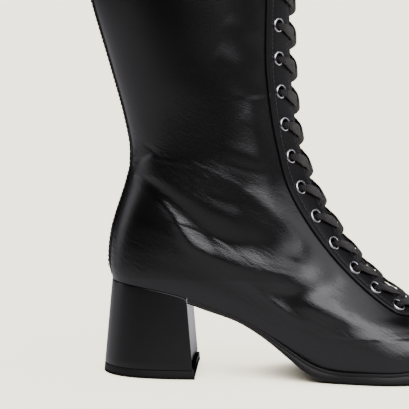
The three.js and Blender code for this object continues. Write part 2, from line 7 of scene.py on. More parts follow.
import bpy
import numpy as np
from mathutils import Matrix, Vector

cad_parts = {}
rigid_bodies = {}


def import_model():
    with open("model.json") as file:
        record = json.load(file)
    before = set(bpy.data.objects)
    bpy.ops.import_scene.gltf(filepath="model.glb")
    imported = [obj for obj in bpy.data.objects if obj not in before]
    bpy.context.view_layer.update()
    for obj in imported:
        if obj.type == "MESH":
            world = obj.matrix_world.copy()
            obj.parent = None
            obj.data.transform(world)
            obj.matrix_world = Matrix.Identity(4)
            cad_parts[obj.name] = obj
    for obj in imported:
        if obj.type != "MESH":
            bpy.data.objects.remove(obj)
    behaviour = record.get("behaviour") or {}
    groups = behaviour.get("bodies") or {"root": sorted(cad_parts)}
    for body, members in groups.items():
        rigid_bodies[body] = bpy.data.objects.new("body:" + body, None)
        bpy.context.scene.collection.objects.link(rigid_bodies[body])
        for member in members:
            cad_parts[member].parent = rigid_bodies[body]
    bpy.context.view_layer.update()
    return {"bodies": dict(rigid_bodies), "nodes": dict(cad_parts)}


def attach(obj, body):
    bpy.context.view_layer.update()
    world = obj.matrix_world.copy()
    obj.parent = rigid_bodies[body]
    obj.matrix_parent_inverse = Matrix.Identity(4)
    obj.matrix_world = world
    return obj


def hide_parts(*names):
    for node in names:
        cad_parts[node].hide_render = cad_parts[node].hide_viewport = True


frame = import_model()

BODY = next(iter(frame["bodies"]))

# Sizes of the boot, the same as in the part's source. The way is the line up the boot from the
# sole (0) to the collar (1).
SOLE_LENGTH = 240  # back of the heel seat to the toe tip, along the floor
BALL_WIDTH, SEAT_WIDTH = 82, 53  # upper at the ball and at the heel seat, where it meets the sole
HEEL_HEIGHT = 60  # floor to the back edge of the heel seat
ANKLE_RISE = 86  # heel seat to the narrowest section of the ankle
BOOT_HEIGHT = 300  # floor to the collar
COLLAR_DEPTH, COLLAR_WIDTH = 136, 108  # collar from back to front and from side to side
LAST_CURVE = 4  # how far the toe swings towards the big toe
UPPER_WALL, FACING_WALL, STRIP_WALL, TONGUE_WALL = 2.4, 1.2, 0.9, 1.8
FIT = 0.3  # clearance between pieces that touch
SOLE_THICKNESS, WAIST_THICKNESS = 7.8, 3  # outsole under the forefoot and under the arch
TOE_SPRING = 5.9  # rise of the sole's underside at the toe tip
SOLE_LEDGE = 1.6  # how far the sole stands proud of the upper at the forefoot
RIDGE_DEPTH, RIDGE_PROUD = 1.8, 0.5  # raised line along the sole's upper edge
EDGE_ROUND = 1  # rounding of the sole's lower edge
BREAST_X, BREAST_HOLLOW = 49.5, 1.6  # front of the heel at its top, and the hollow in it
HEEL_BASE_LENGTH, HEEL_BASE_WIDTH = 58.3, 56  # heel at the floor
HEEL_FLARE = 5.5  # how far the heel leans out backwards
TIP_THICKNESS, TIP_PROUD = 5.5, 1  # rubber piece under the heel, proud at the heel's front
THROAT_HALF = 6.5  # half the opening between the facing's two sides
THROAT_AT, THROAT_ROUND = 0.168, 0.03  # start of the opening and length of its round end
EYELET_REACH, EYELET_PAIRS = 16.2, 14  # eyelet centre from the middle of the boot
EYELET_LOW, EYELET_HIGH = 0.183, 0.943  # lowest and highest eyelet on the way
LOW_GAPS, LOW_PITCH = 2, 0.89  # how many of the lowest gaps are narrower, and their share
EYELET_RADIUS = 4.8
FACING_REACH = 21.3  # outer edge of the facing from the middle of the boot
FACING_START, FACING_TIP = 0.142, 0.35  # its lower end, and the width there as a share
LACE_WIDTH = 7.4
TONGUE_REACH, TONGUE_TOP = 24, 7  # half the tongue's width, and its rise above the collar
TONGUE_START = 0.15  # lower end of the tongue on the way
STRIP_ANKLE, STRIP_COLLAR = 5, 12  # half the back strip's width up to the ankle and at the collar

# Sizes that only show here
TONGUE_DEPTH = 5.2  # tongue's outer face below the upper's outer surface, with room for laces
TONGUE_EDGE = 0.125  # share of the tongue's half width over which its edge gets thinner
EDGE_SOFT = 0.9  # rounding of a cut leather edge
EDGE_START = 0.33  # share of the leather's thickness at which that rounding starts
GROOVE_DEPTH, GROOVE_WIDTH = 0.22, 0.6  # groove under a stitch row
COLLAR_ROUND, COLLAR_ROUND_HEIGHT = 0.7, 1.4  # rounding of the collar's edge, and how far down
STRIP_START = 0.006  # lower end of the back strip, as a share of the way to the collar
STRIP_THIN, STRIP_THIN_LENGTH = 0.25, 14  # share of its thickness there, and how far up
WAIST_EDGE = 0.4  # how much of the sole's raised line is left under the arch
RIDGE_SHARE = 0.4  # most of the sole's thickness that the raised line may take
HEEL_LOW_EDGE, HEEL_TOP_EDGE, HEEL_CORNER = 0.3, 0.8, 2.2  # roundings of the heel's cover
TIP_ROUND = 0.4  # rounding of the rubber tip's edges
EYELET_CUT = 3.5  # radius of the holes in the leather
WASHER = 0.5  # thickness and lip of the washers inside
LACE_THICKNESS = 1.3  # the solids' plain straps are a little thicker
LACE_SWELL, LACE_CURL = 0.9, 1.6  # how much thicker a gathered lace gets, and how far it curls
STITCH_PITCH, STITCH_LENGTH, STITCH_RADIUS = 2.9, 2.1, 0.27
STITCH_BOW, STITCH_SINK = 0.42, 0.3  # rise of a stitch's middle over its ends, and their depth
STITCH_SET = 0.1  # stitch row below the face of an overlay
STITCH_INSET = 2.3  # stitch row to the leather's edge
STITCH_TOP = 0.994  # upper end of the rows that run up the boot, as a share of the way
STRIP_ROW_START = 0.02  # lower end of the back strip's rows, as the same share
COLLAR_ROW = 4  # stitch row below the collar
COLLAR_ROW_GAP = 0.02  # room at both ends of that row, as an angle
FACING_FADE, STRIP_FADE = 7, 5  # room beside the facing and the strip in which creases fade out
SOLE_FADE = (4, 16)  # creases start and are full this far above the sole
FAR_AWAY = 1000  # stands for an edge that is out of reach

# Raised line of the sole, from the groove under it to its top: distance as a share of how far
# the line stands proud, and depth as a share of its height
RIDGE_PROFILE = (
    (0, 1.5), (-0.5, 1.35), (-0.6, 1.15), (0.6, 1), (1, 0.85), (1, 0.3), (0.7, 0.1), (0, 0),
)
# Rolled lip of an eyelet, from its hole over the top to the leather: radius and height
LIP = (
    (3.25, 1.9), (3.32, 2.25), (3.52, 2.48), (3.85, 2.56), (4.18, 2.46), (4.42, 2.2),
    (4.55, 1.85), (4.6, 1.4), (3.4, 1.3),
)

# Sole's line by its share of the length: arch height, toe spring and thickness
SOLE_ALONG = (0, 0.083, 0.187, 0.25, 0.354, 0.429, 0.471, 0.525, 0.575, 0.615, 0.73, 0.79, 0.9, 1)
SOLE_ARCH = (0.945, 0.912, 0.828, 0.738, 0.58, 0.382, 0.245, 0.078, 0.012, 0, 0, 0, 0, 0)
SOLE_SPRING = (0, 0, 0, 0, 0, 0, 0, 0, 0, 0, 0, 0.16, 0.48, 1)
SOLE_BODY = (0, 0, 0, 0, 0, 0.35, 0.66, 1.06, 1.03, 1, 1, 1, 1, 1)

# Sections of the foot: backX, backZ, frontX, frontZ, dip, then the six half widths
STATIONS = (0, 0.15, 0.35, 0.55, 0.75, 1)
FOOT = np.array([
    (0.003, 0, 1, 0, 1, 2.075, 1.408, 0.663, 0.798, 1.154, 1.293),
    (-0.0033, 0.116, 0.9985, 0.053, 0.92, 2.113, 1.509, 0.715, 0.846, 1.159, 1.293),
    (-0.0012, 0.244, 0.971, 0.102, 0.85, 2.075, 1.547, 0.741, 0.871, 1.127, 1.146),
    (0.005, 0.36, 0.9125, 0.144, 0.8, 1.962, 1.566, 0.766, 0.871, 1.088, 1.024),
    (0.015, 0.465, 0.826, 0.192, 0.65, 1.887, 1.566, 0.793, 0.846, 1.085, 0.95),
    (0.0258, 0.558, 0.739, 0.289, 0.5, 1.755, 1.532, 0.817, 0.834, 1, 0.951),
    (0.037, 0.651, 0.657, 0.429, 0.35, 1.623, 1.509, 0.856, 0.846, 0.929, 0.902),
    (0.047, 0.75, 0.583, 0.615, 0.2, 1.472, 1.479, 0.895, 0.883, 0.929, 0.817),
    (0.0542, 0.849, 0.525, 0.812, 0.1, 1.34, 1.453, 0.907, 0.907, 0.929, 0.78),
])
# Sections of the shaft: rise, middle, depth, then the six half widths
SHAFT = np.array([
    (0, 0.2727, 0.773, 0.624, 0.681, 0.689, 0.704, 0.75, 0.602),
    (0.11, 0.26, 0.7765, 0.667, 0.7, 0.715, 0.731, 0.76, 0.593),
    (0.289, 0.24, 0.815, 0.759, 0.791, 0.806, 0.809, 0.787, 0.583),
    (0.584, 0.21, 0.9, 0.926, 0.944, 0.935, 0.911, 0.852, 0.63),
    (1, 0.175, 1, 1.074, 1.074, 1.046, 1, 0.926, 0.704),
])
SWING_ALONG, SWING = (0, 0.4, 0.7, 1), (0, -0.7, 0, 1)

# Creases of the worn leather: side, half width at the line's start and end, height (below 0
# for a trough) and the line that each follows in the side view, as (x, z) from the heel's
# resting point
BOTH, LATERAL = 0, -1
CREASES = (
    (BOTH, 4, 8, 0.6, (
        (-8, 131), (4, 127), (14, 121.5), (25, 114), (33, 109), (45, 105.5), (60, 102),
    )),
    (BOTH, 3, 9, -1.5, (
        (-8, 127), (2, 123.5), (12, 118), (22, 110), (29, 103), (36, 96.5), (50, 89.5), (68, 86.5), (90, 88),
    )),
    (BOTH, 2, 3.5, 0.9, ((8, 114), (17, 104), (24, 93), (30, 82))),
    (BOTH, 5, 8, 2.8, ((18, 102), (26, 91), (33, 84), (42, 79.5), (54, 75), (72, 71), (92, 69))),
    (BOTH, 5, 7, -1.2, ((74, 55), (88, 55.5), (102, 57), (114, 61), (122, 67))),
    (BOTH, 4, 6, 1, ((62, 121), (70, 115), (80, 107), (91, 97.5), (97, 88), (93, 77))),
    (LATERAL, 5, 5, -0.6, ((34, 122), (46, 116), (60, 110))),
    (LATERAL, 1.2, 1.6, 0.35, ((2, 140), (30, 136), (50, 128), (66, 118))),
    (BOTH, 1.3, 1.3, -0.4, ((-2, 147), (3, 144.5), (8, 141))),
    (LATERAL, 1.5, 1.2, -0.4, ((-9, 134), (-3, 139), (4, 143))),
    (LATERAL, 5, 5, 0.4, ((50, 226), (62, 219), (74, 213))),
    (BOTH, 6, 6, 0.6, ((44, 207), (58, 199), (74, 192))),
    (LATERAL, 6, 6, -0.2, ((40, 192), (58, 184), (76, 180))),
    (LATERAL, 6, 5, 0.35, ((60, 169), (68, 164), (76, 157))),
    (BOTH, 5, 4.5, 0.45, ((46, 148), (60, 144), (74, 137))),
    (BOTH, 3.4, 3, -0.4, ((44, 139), (60, 135), (76, 129))),
    (BOTH, 2.6, 2.6, -0.2, ((104, 62), (112, 48), (115, 34))),
    (BOTH, 2.6, 2.6, -0.2, ((124, 48), (133, 35), (137, 25))),
    (LATERAL, 2.6, 2.6, 0.2, ((116, 55), (124, 43), (128, 30))),
    (BOTH, 2.6, 2.6, -0.15, ((146, 37), (155, 25), (158, 18))),
)

# Route of a lace from one eyelet down to the next on the other side. gone: share of the way
# across. over and under: height above the upper's surface of the two laces. breadth: share
# of the lace's width, less where it is drawn through a ring.
ROUTE_GONE = (0.02, 0.02, 0.035, 0.075, 0.14, 0.23, 0.35, 0.5, 0.61, 0.69, 0.78, 0.92, 0.985, 1)
ROUTE_OVER = (-3, 1.2, 2.9, 3.9, 3.6, 3.1, 3.5, 3.7, 1.9, -1.2, -3.5, -3.7, -3.3, -1)
ROUTE_UNDER = (-3, 1.2, 2.9, 3.9, 3.5, 2.9, 2.7, 1.7, 0.4, -2, -3.5, -3.7, -3.3, -1)
ROUTE_BREADTH = (0.5, 0.5, 0.56, 0.66, 0.82, 0.96, 1, 1, 1, 1, 1, 0.85, 0.55, 0.5)
BAR_GONE = (0.02, 0.02, 0.035, 0.08, 0.16, 0.3, 0.5, 0.7, 0.84, 0.92, 0.965, 0.98, 0.98)
BAR_HEIGHT = (-3, 1.2, 2.9, 3.9, 3.4, 2.6, 2.4, 2.6, 3.4, 3.9, 2.9, 1.2, -3)
BAR_BREADTH = (0.5, 0.5, 0.56, 0.68, 0.86, 1, 1, 1, 0.86, 0.68, 0.56, 0.5, 0.5)


def curve(at, value, place):
    """Smooth curve through the points (at, value), read at each place. Between two points it
    is a cubic whose end slopes are the weighted mean of the slopes on both sides, or nothing
    where they change sign. value may hold its own numbers for each place."""
    at = np.asarray(at, float)
    place = np.clip(np.asarray(place, float), at[0], at[-1])
    value = np.asarray(value, float)
    if value.ndim == 1:
        value = value.reshape(-1, *(1,) * place.ndim)
    gap = np.diff(at).reshape(-1, *(1,) * place.ndim)
    slope = np.diff(value, axis=0) / gap
    mean = (gap[:-1] * slope[1:] + gap[1:] * slope[:-1]) / (gap[:-1] + gap[1:])
    mean = np.where(slope[:-1] * slope[1:] > 0, mean, 0)
    tangent = np.concatenate([slope[:1], mean, slope[-1:]])
    i = np.clip(np.searchsorted(at, place) - 1, 0, len(at) - 2)

    def pick(rows, k):
        """Row k for each place."""
        rows = np.broadcast_to(rows, (len(at), *place.shape))
        return np.take_along_axis(rows, k[None], 0)[0]

    width = at[i + 1] - at[i]
    v = (place - at[i]) / width
    return (
        pick(value, i) * (1 + 2 * v) * (1 - v) ** 2
        + pick(tangent, i) * width * v * (1 - v) ** 2
        + pick(value, i + 1) * v * v * (3 - 2 * v)
        + pick(tangent, i + 1) * width * v * v * (v - 1)
    )


def step(value, low, high):
    """0 below low, 1 above high, and 3t² - 2t³ between them."""
    t = np.clip((value - low) / (high - low), 0, 1)
    return t * t * (3 - 2 * t)


def underside(x):
    """Height of the sole's underside: arch share of the heel plus spring share of the toe."""
    along = np.asarray(x) / SOLE_LENGTH
    arch = curve(SOLE_ALONG, SOLE_ARCH, along) * HEEL_HEIGHT
    return arch + curve(SOLE_ALONG, SOLE_SPRING, along) * TOE_SPRING


def body(x):
    """0 at the arch's thickness and 1 at the forefoot's."""
    return curve(SOLE_ALONG, SOLE_BODY, np.asarray(x) / SOLE_LENGTH)


def feather(x):
    """Height of the upper's lower edge: the sole's underside, its thickness and the fit."""
    return underside(x) + WAIST_THICKNESS + (SOLE_THICKNESS - WAIST_THICKNESS) * body(x) + FIT


# Sections in millimetres
ANKLE_Z = HEEL_HEIGHT + ANKLE_RISE
TOE_Z = float(feather(SOLE_LENGTH))
SHAFT_Z = ANKLE_Z + SHAFT[:, 0] * (BOOT_HEIGHT - ANKLE_Z)
SHAFT_X, SHAFT_HALF = SHAFT[:, 1] * SOLE_LENGTH, SHAFT[:, 2] * COLLAR_DEPTH / 2
BACK_X = np.concatenate([FOOT[:, 0] * SOLE_LENGTH, SHAFT_X - SHAFT_HALF])
BACK_Z = np.concatenate([HEEL_HEIGHT + FOOT[:, 1] * ANKLE_RISE, SHAFT_Z])
FRONT_X = np.concatenate([FOOT[:, 2] * SOLE_LENGTH, SHAFT_X + SHAFT_HALF])
FRONT_Z = np.concatenate([TOE_Z + FOOT[:, 3] * (ANKLE_Z - TOE_Z), SHAFT_Z])
DIP = np.concatenate([FOOT[:, 4], np.zeros(len(SHAFT))])
HALF_WIDTHS = np.concatenate([
    FOOT[:, 5:] * np.array([SEAT_WIDTH] * 2 + [BALL_WIDTH] * 4) / 2,
    SHAFT[:, 3:] * COLLAR_WIDTH / 2,
]).T
TRAVELLED = np.concatenate([[0], np.cumsum(
    (np.hypot(np.diff(BACK_X), np.diff(BACK_Z)) + np.hypot(np.diff(FRONT_X), np.diff(FRONT_Z))) / 2
)])
WAY_LENGTH = TRAVELLED[-1]
SECTION_AT = TRAVELLED / WAY_LENGTH
ANKLE_WAY = SECTION_AT[len(FOOT)]
REST_X = BACK_X[0] - HEEL_FLARE + HEEL_BASE_LENGTH / 2


def surface(angle, way):
    """Upper's smooth outer surface. angle goes round a section from the front middle through
    the lateral side to the back, way from the sole (0) to the collar (1). Each section is an
    ellipse with a changing half width, tilted from its back point to its front point, and it
    follows the sole's curve by its dip."""
    angle, way = np.broadcast_arrays(np.asarray(angle, float), np.asarray(way, float))
    share = (1 + np.cos(angle)) / 2
    back_x, back_z, front_x, front_z, dip = (
        curve(SECTION_AT, values, way) for values in (BACK_X, BACK_Z, FRONT_X, FRONT_Z, DIP)
    )
    base_x = BACK_X[0] + (FRONT_X[0] - BACK_X[0]) * share
    base_z = BACK_Z[0] + (FRONT_Z[0] - BACK_Z[0]) * share
    widths = np.stack([curve(SECTION_AT, values, way) for values in HALF_WIDTHS])
    y = LAST_CURVE * dip * curve(SWING_ALONG, SWING, share) - np.sin(angle) * curve(STATIONS, widths, share)
    z = back_z + (front_z - back_z) * share + dip * (feather(base_x) - base_z)
    return np.stack([back_x + (front_x - back_x) * share, y, z], -1)


def unit(vectors):
    """Vectors divided by their lengths."""
    return vectors / np.linalg.norm(vectors, axis=-1, keepdims=True)


def outward(angle, way, small=1e-3):
    """Outward normal: the step up the surface crossed with the step round it. It is level at
    the sole's edge."""
    angle, way = np.broadcast_arrays(np.asarray(angle, float), np.asarray(way, float))
    up = surface(angle, np.minimum(way + small, 1)) - surface(angle, np.maximum(way - small, 0))
    normal = np.cross(up, surface(angle + small, way) - surface(angle - small, way))
    normal[..., 2] = np.where(way == 0, 0, normal[..., 2])
    return unit(normal)


def raised(angle, way, height):
    """Points at a height above the surface, or below it if the height is negative."""
    points = surface(angle, way) + outward(angle, way) * np.asarray(height, float)[..., None]
    edge = np.broadcast_to(np.asarray(way) == 0, points.shape[:-1])
    points[..., 2] = np.where(edge, feather(points[..., 0]), points[..., 2])
    return points


def half_width(station, way):
    """Half width of the section at one of its stations, 0 at the back and -1 at the front."""
    return curve(SECTION_AT, HALF_WIDTHS[station], way)


def angle_for(reach, way):
    """Angle at which the front of a section is a given distance from the middle."""
    return np.arcsin(np.minimum(reach / half_width(-1, way), 1))


def throat_angle(way):
    """Edge of the throat: a round end, then parallel edges."""
    gone = np.clip((way - THROAT_AT) / THROAT_ROUND, 0, 1)
    return angle_for(THROAT_HALF * np.sqrt(gone * (2 - gone)), way)


def facing_angle(way):
    """Outer edge of the facing, which closes round its lower end."""
    down = np.clip((THROAT_AT - way) / (THROAT_AT - FACING_START), 0, 1)
    return angle_for(FACING_REACH * np.sqrt(1 - (1 - FACING_TIP ** 2) * down * down), way)


def strip_reach(way):
    """Half the back strip's width: even up to the ankle, then a smooth curve to the collar."""
    return curve((0, ANKLE_WAY, 1), (STRIP_ANKLE, STRIP_ANKLE, STRIP_COLLAR), way)


def eyelet_ways():
    """The eyelets share out the line between the lowest and the highest one by its length."""
    ways = np.linspace(EYELET_LOW, EYELET_HIGH, 1001)
    line = surface(angle_for(EYELET_REACH, ways), ways)
    gone = np.concatenate([[0], np.cumsum(np.linalg.norm(np.diff(line, axis=0), axis=1))])
    number = np.arange(EYELET_PAIRS)
    place = number - np.minimum(number, LOW_GAPS) * (1 - LOW_PITCH)
    return np.interp(place / place[-1] * gone[-1], gone, ways)


WAYS = eyelet_ways()
EYE_ANGLES = np.concatenate([angle_for(EYELET_REACH, WAYS), -angle_for(EYELET_REACH, WAYS)])
EYE_WAYS = np.tile(WAYS, 2)
EYE_CENTRES = surface(EYE_ANGLES, EYE_WAYS)
EYE_NORMALS = outward(EYE_ANGLES, EYE_WAYS)


def relief(points, angle, way):
    """Creases: each lifts the leather by its height times exp(-(d / width)²), where d is the
    distance to its line in the side view, and it fades to both ends of that line. They fade
    out towards the facing, the back strip and the sole."""
    side_x, side_z = points[..., 0] - REST_X, points[..., 2]
    total = np.zeros(side_x.shape)
    for side, start, end, height, line in CREASES:
        line = np.array(line, float)
        gone = np.linspace(0, len(line) - 1, 25)
        knots = np.arange(len(line))
        line = np.stack([curve(knots, line[:, 0], gone), curve(knots, line[:, 1], gone)], -1)
        around = 3 * max(start, end)
        near = (
            (side_x > line[:, 0].min() - around) & (side_x < line[:, 0].max() + around)
            & (side_z > line[:, 1].min() - around) & (side_z < line[:, 1].max() + around)
            & ((side == BOTH) | (points[..., 1] < 0))
        )
        spot = np.stack([side_x[near], side_z[near]], -1)[:, None]
        a, b = line[:-1], line[1:]
        t = np.clip(((spot - a) * (b - a)).sum(-1) / ((b - a) ** 2).sum(-1), 0, 1)
        far = np.linalg.norm(spot - a - t[..., None] * (b - a), axis=-1)
        best = far.argmin(1)
        row = np.arange(len(best))
        share = (best + t[row, best]) / len(a)
        width = start + (end - start) * share
        fade = np.sqrt(np.clip(4 * share * (1 - share), 0, 1))
        total[near] += height * fade * np.exp(-((far[row, best] / width) ** 2))
    from_front = np.abs(np.sin(angle)) * half_width(-1, way) + FAR_AWAY * (np.cos(angle) < 0)
    from_back = np.abs(np.sin(angle)) * half_width(0, way) + FAR_AWAY * (np.cos(angle) > 0)
    clear = step(from_front, FACING_REACH, FACING_REACH + FACING_FADE)
    clear = clear * step(from_back, strip_reach(way), strip_reach(way) + STRIP_FADE)
    return total * clear * step(way * WAY_LENGTH, *SOLE_FADE)


def weld(points, quads, extra=()):
    """Joins points that coincide. A quad with two equal corners becomes a triangle, and one
    with fewer than three corners goes."""
    _, first, index = np.unique(np.round(points, 3), axis=0, return_index=True, return_inverse=True)
    quads = index.reshape(-1)[quads]
    same = quads == np.roll(quads, -1, axis=1)
    count = same.sum(1)
    bent = quads[count == 1][~same[count == 1]].reshape(-1, 3)
    order = np.concatenate([np.flatnonzero(count == 0), np.flatnonzero(count == 1)])
    return points[first], [*quads[count == 0].tolist(), *bent.tolist()], order, [e[first] for e in extra]


def shell(outer, inner, keep=None, ends=None):
    """Closed sheet between two grids of points. A cell is a quad on each side, and a wall
    stands wherever a kept cell has no kept neighbour; ends says in which rows the first and
    the last column have one. Returns points, quads and 1 for each inner quad."""
    rows, columns = outer.shape[0] - 1, outer.shape[1] - 1
    keep = np.ones((rows, columns), bool) if keep is None else keep
    index = np.arange(outer.shape[0] * outer.shape[1]).reshape(outer.shape[:2])
    under = index.size
    a, b, c, d = index[:-1, :-1], index[1:, :-1], index[1:, 1:], index[:-1, 1:]
    front = np.stack([a, b, c, d], -1)[keep]
    ends = np.ones(rows, bool) if ends is None else ends
    padded = np.pad(keep, 1)
    padded[1:-1, 0] = ~ends
    padded[1:-1, -1] = ~ends
    walls = []
    for p, q, beside in (
        (b, a, padded[1:-1, :-2]), (d, c, padded[1:-1, 2:]),
        (a, d, padded[:-2, 1:-1]), (c, b, padded[2:, 1:-1]),
    ):
        edge = keep & ~beside
        walls.append(np.stack([p[edge], q[edge], q[edge] + under, p[edge] + under], -1))
    quads = np.concatenate([front, front[:, ::-1] + under, *walls])
    inside = np.zeros(len(quads), int)
    inside[len(front):2 * len(front)] = 1
    return np.concatenate([outer.reshape(-1, 3), inner.reshape(-1, 3)]), quads, inside


def block(loops):
    """Block through closed loops, from the lowest up. Point 0 and the point half-way round
    lie on the middle line, and the caps join each point to its mirror."""
    rows, count = loops.shape[:2]
    index = np.arange(rows * count).reshape(rows, count)
    after = np.roll(index, -1, axis=1)
    sides = np.stack([index[:-1], index[1:], after[1:], after[:-1]], -1).reshape(-1, 4)
    i = np.arange(count // 2)
    mirror = (count - i) % count
    low, top = index[0], index[-1]
    caps = [
        np.stack([low[i], low[i + 1], low[count - i - 1], low[mirror]], -1),
        np.stack([top[i + 1], top[i], top[mirror], top[count - i - 1]], -1),
    ]
    return loops.reshape(-1, 3), np.concatenate([sides, *caps])


def tube(rings):
    """Closed tube through rings of points, ended by a point in the middle of each end ring."""
    first = np.broadcast_to(rings[0].mean(0), rings[0].shape)
    last = np.broadcast_to(rings[-1].mean(0), rings[-1].shape)
    rings = np.concatenate([first[None], rings, last[None]])
    rows, count = rings.shape[:2]
    index = np.arange(rows * count).reshape(rows, count)
    after = np.roll(index, -1, axis=1)
    quads = np.stack([index[:-1], after[:-1], after[1:], index[1:]], -1).reshape(-1, 4)
    return rings.reshape(-1, 3), quads


def join(parts):
    """Several (points, quads) as one."""
    starts = np.cumsum([0] + [len(points) for points, _ in parts[:-1]])
    points = np.concatenate([points for points, _ in parts])
    return points, np.concatenate([quads + start for (_, quads), start in zip(parts, starts)])


def add_piece(name, points, quads, materials, nodes=(), inside=None, run=None, sharp=38):
    """Makes a piece from arrays in millimetres. inside picks the second material, and run is
    a value along and across the piece at each point."""
    extra = () if run is None else (run,)
    points, faces, order, extra = weld(points, quads, extra)
    points = (points - (REST_X, 0, 0)) * 0.001
    mesh = bpy.data.meshes.new(name)
    mesh.from_pydata(points.tolist(), [], faces)
    for material in materials:
        mesh.materials.append(material)
    if inside is not None:
        mesh.polygons.foreach_set("material_index", inside[order].astype(np.int32))
    if run is not None:
        mesh.attributes.new("run", "FLOAT_VECTOR", "POINT").data.foreach_set("vector", extra[0].ravel())
    mesh.shade_smooth()
    mesh.set_sharp_from_angle(angle=math.radians(sharp))
    piece = bpy.data.objects.new(name, mesh)
    bpy.context.collection.objects.link(piece)
    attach(piece, BODY)
    if nodes:
        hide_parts(*nodes)
    return piece


# Materials


def add_node(material, kind, values=(), **settings):
    """Adds a node with its settings and the values of its sockets."""
    node = material.node_tree.nodes.new(kind)
    for name, value in settings.items():
        setattr(node, name, value)
    for name, value in dict(values).items():
        node.inputs[name].default_value = value
    return node


def new_material(name, color, roughness, values=()):
    """Material with one shader, and that shader."""
    material = bpy.data.materials.new(name)
    material.use_nodes = True
    shader = material.node_tree.nodes["Principled BSDF"]
    shader.inputs["Base Color"].default_value = (*color, 1)
    shader.inputs["Roughness"].default_value = roughness
    for key, value in dict(values).items():
        shader.inputs[key].default_value = value
    return material, shader


def add_bump(material, shader, height, depth, strength=1):
    """Adds one more layer of bumps to the shader, depth in metres."""
    links = material.node_tree.links
    bump = add_node(material, "ShaderNodeBump", {"Strength": strength, "Distance": depth})
    links.new(height, bump.inputs["Height"])
    if shader.inputs["Normal"].is_linked:
        links.new(shader.inputs["Normal"].links[0].from_socket, bump.inputs["Normal"])
    links.new(bump.outputs["Normal"], shader.inputs["Normal"])


def make_leather(name, color, roughness, grain, wrinkle, specular):
    """Smooth leather: pebbled grain under a millimetre, with patches a little duller than the
    rest. Short wrinkles along the folds lie in some patches, full below 130 mm and gone above
    210 mm."""
    material, shader = new_material(name, color, roughness, {"Specular IOR Level": specular})
    links = material.node_tree.links
    coords = add_node(material, "ShaderNodeTexCoord").outputs["Object"]
    cells = add_node(material, "ShaderNodeTexVoronoi", {"Scale": 1300}, feature="SMOOTH_F1")
    links.new(coords, cells.inputs["Vector"])
    add_bump(material, shader, cells.outputs["Distance"], grain)
    patches = add_node(material, "ShaderNodeTexNoise", {"Scale": 26, "Detail": 1})
    links.new(coords, patches.inputs["Vector"])
    wear = add_node(material, "ShaderNodeMapRange", {"To Min": roughness - 0.04, "To Max": roughness + 0.07})
    links.new(patches.outputs["Fac"], wear.inputs["Value"])
    links.new(wear.outputs["Result"], shader.inputs["Roughness"])
    if not wrinkle:
        return material
    turn = add_node(
        material, "ShaderNodeMapping",
        {"Rotation": (0, math.radians(30), 0), "Scale": (0.0075, 0.01, 0.0017)}, vector_type="TEXTURE",
    )
    links.new(coords, turn.inputs["Vector"])
    lines = add_node(material, "ShaderNodeTexNoise", {"Scale": 1, "Detail": 3, "Distortion": 0.6})
    links.new(turn.outputs["Vector"], lines.inputs["Vector"])
    where = add_node(material, "ShaderNodeMapRange", {"From Min": 0.3, "From Max": 0.62})
    links.new(patches.outputs["Fac"], where.inputs["Value"])
    height = add_node(material, "ShaderNodeSeparateXYZ")
    links.new(coords, height.inputs["Vector"])
    low = add_node(material, "ShaderNodeMapRange", {"From Min": 0.21, "From Max": 0.13})
    links.new(height.outputs["Z"], low.inputs["Value"])
    total = lines.outputs["Fac"]
    for mask in (where, low):
        product = add_node(material, "ShaderNodeMath", operation="MULTIPLY")
        links.new(total, product.inputs[0])
        links.new(mask.outputs["Result"], product.inputs[1])
        total = product.outputs[0]
    add_bump(material, shader, total, wrinkle)
    return material


def make_matt(name, color, roughness, scale, depth, specular=0.5):
    """Plain matt material with fine noise in its surface."""
    material, shader = new_material(name, color, roughness, {"Specular IOR Level": specular})
    links = material.node_tree.links
    noise = add_node(material, "ShaderNodeTexNoise", {"Scale": scale, "Detail": 2})
    links.new(add_node(material, "ShaderNodeTexCoord").outputs["Object"], noise.inputs["Vector"])
    add_bump(material, shader, noise.outputs["Fac"], depth)
    return material


def make_weave():
    """Flat woven lace: two slanting sets of ridges that cross, from the lace's own run."""
    material, shader = new_material("lace_weave", (0.0075, 0.007, 0.0083), 0.75, {
        "Specular IOR Level": 0.3, "Sheen Weight": 0.05, "Sheen Roughness": 0.5,
    })
    links = material.node_tree.links
    run = add_node(material, "ShaderNodeAttribute", attribute_name="run").outputs["Vector"]
    for slant in (32, -32):
        turn = add_node(material, "ShaderNodeMapping", {"Rotation": (0, 0, math.radians(slant))})
        wave = add_node(material, "ShaderNodeTexWave", {"Scale": 0.3}, bands_direction="X")
        links.new(run, turn.inputs["Vector"])
        links.new(turn.outputs["Vector"], wave.inputs["Vector"])
        add_bump(material, shader, wave.outputs["Fac"], 0.00022)
    return material


LEATHER = make_leather("boot_leather", (0.0011, 0.001, 0.0013), 0.29, 0.00006, 0.0003, 0.45)
HEEL_LEATHER = make_leather("heel_leather", (0.0011, 0.001, 0.0013), 0.34, 0.00004, 0, 0.3)
FACING_LEATHER = make_leather("facing_leather", (0.0018, 0.0016, 0.0021), 0.46, 0.00008, 0, 0.2)
LINING = make_matt("lining_leather", (0.02, 0.018, 0.0175), 0.8, 900, 0.0001)
SOLE_EDGE = make_matt("sole_edge", (0.006, 0.0058, 0.0064), 0.42, 700, 0.00006, 0.2)
TIP_RUBBER = make_matt("tip_rubber", (0.003, 0.003, 0.0032), 0.6, 1200, 0.00008, 0.2)
THREAD = make_matt("stitch_thread", (0.012, 0.0115, 0.013), 0.55, 3000, 0.00008)
NICKEL, _ = new_material("polished_nickel", (0.5, 0.5, 0.52), 0.2, {"Metallic": 1})
WEAVE = make_weave()


# Pieces


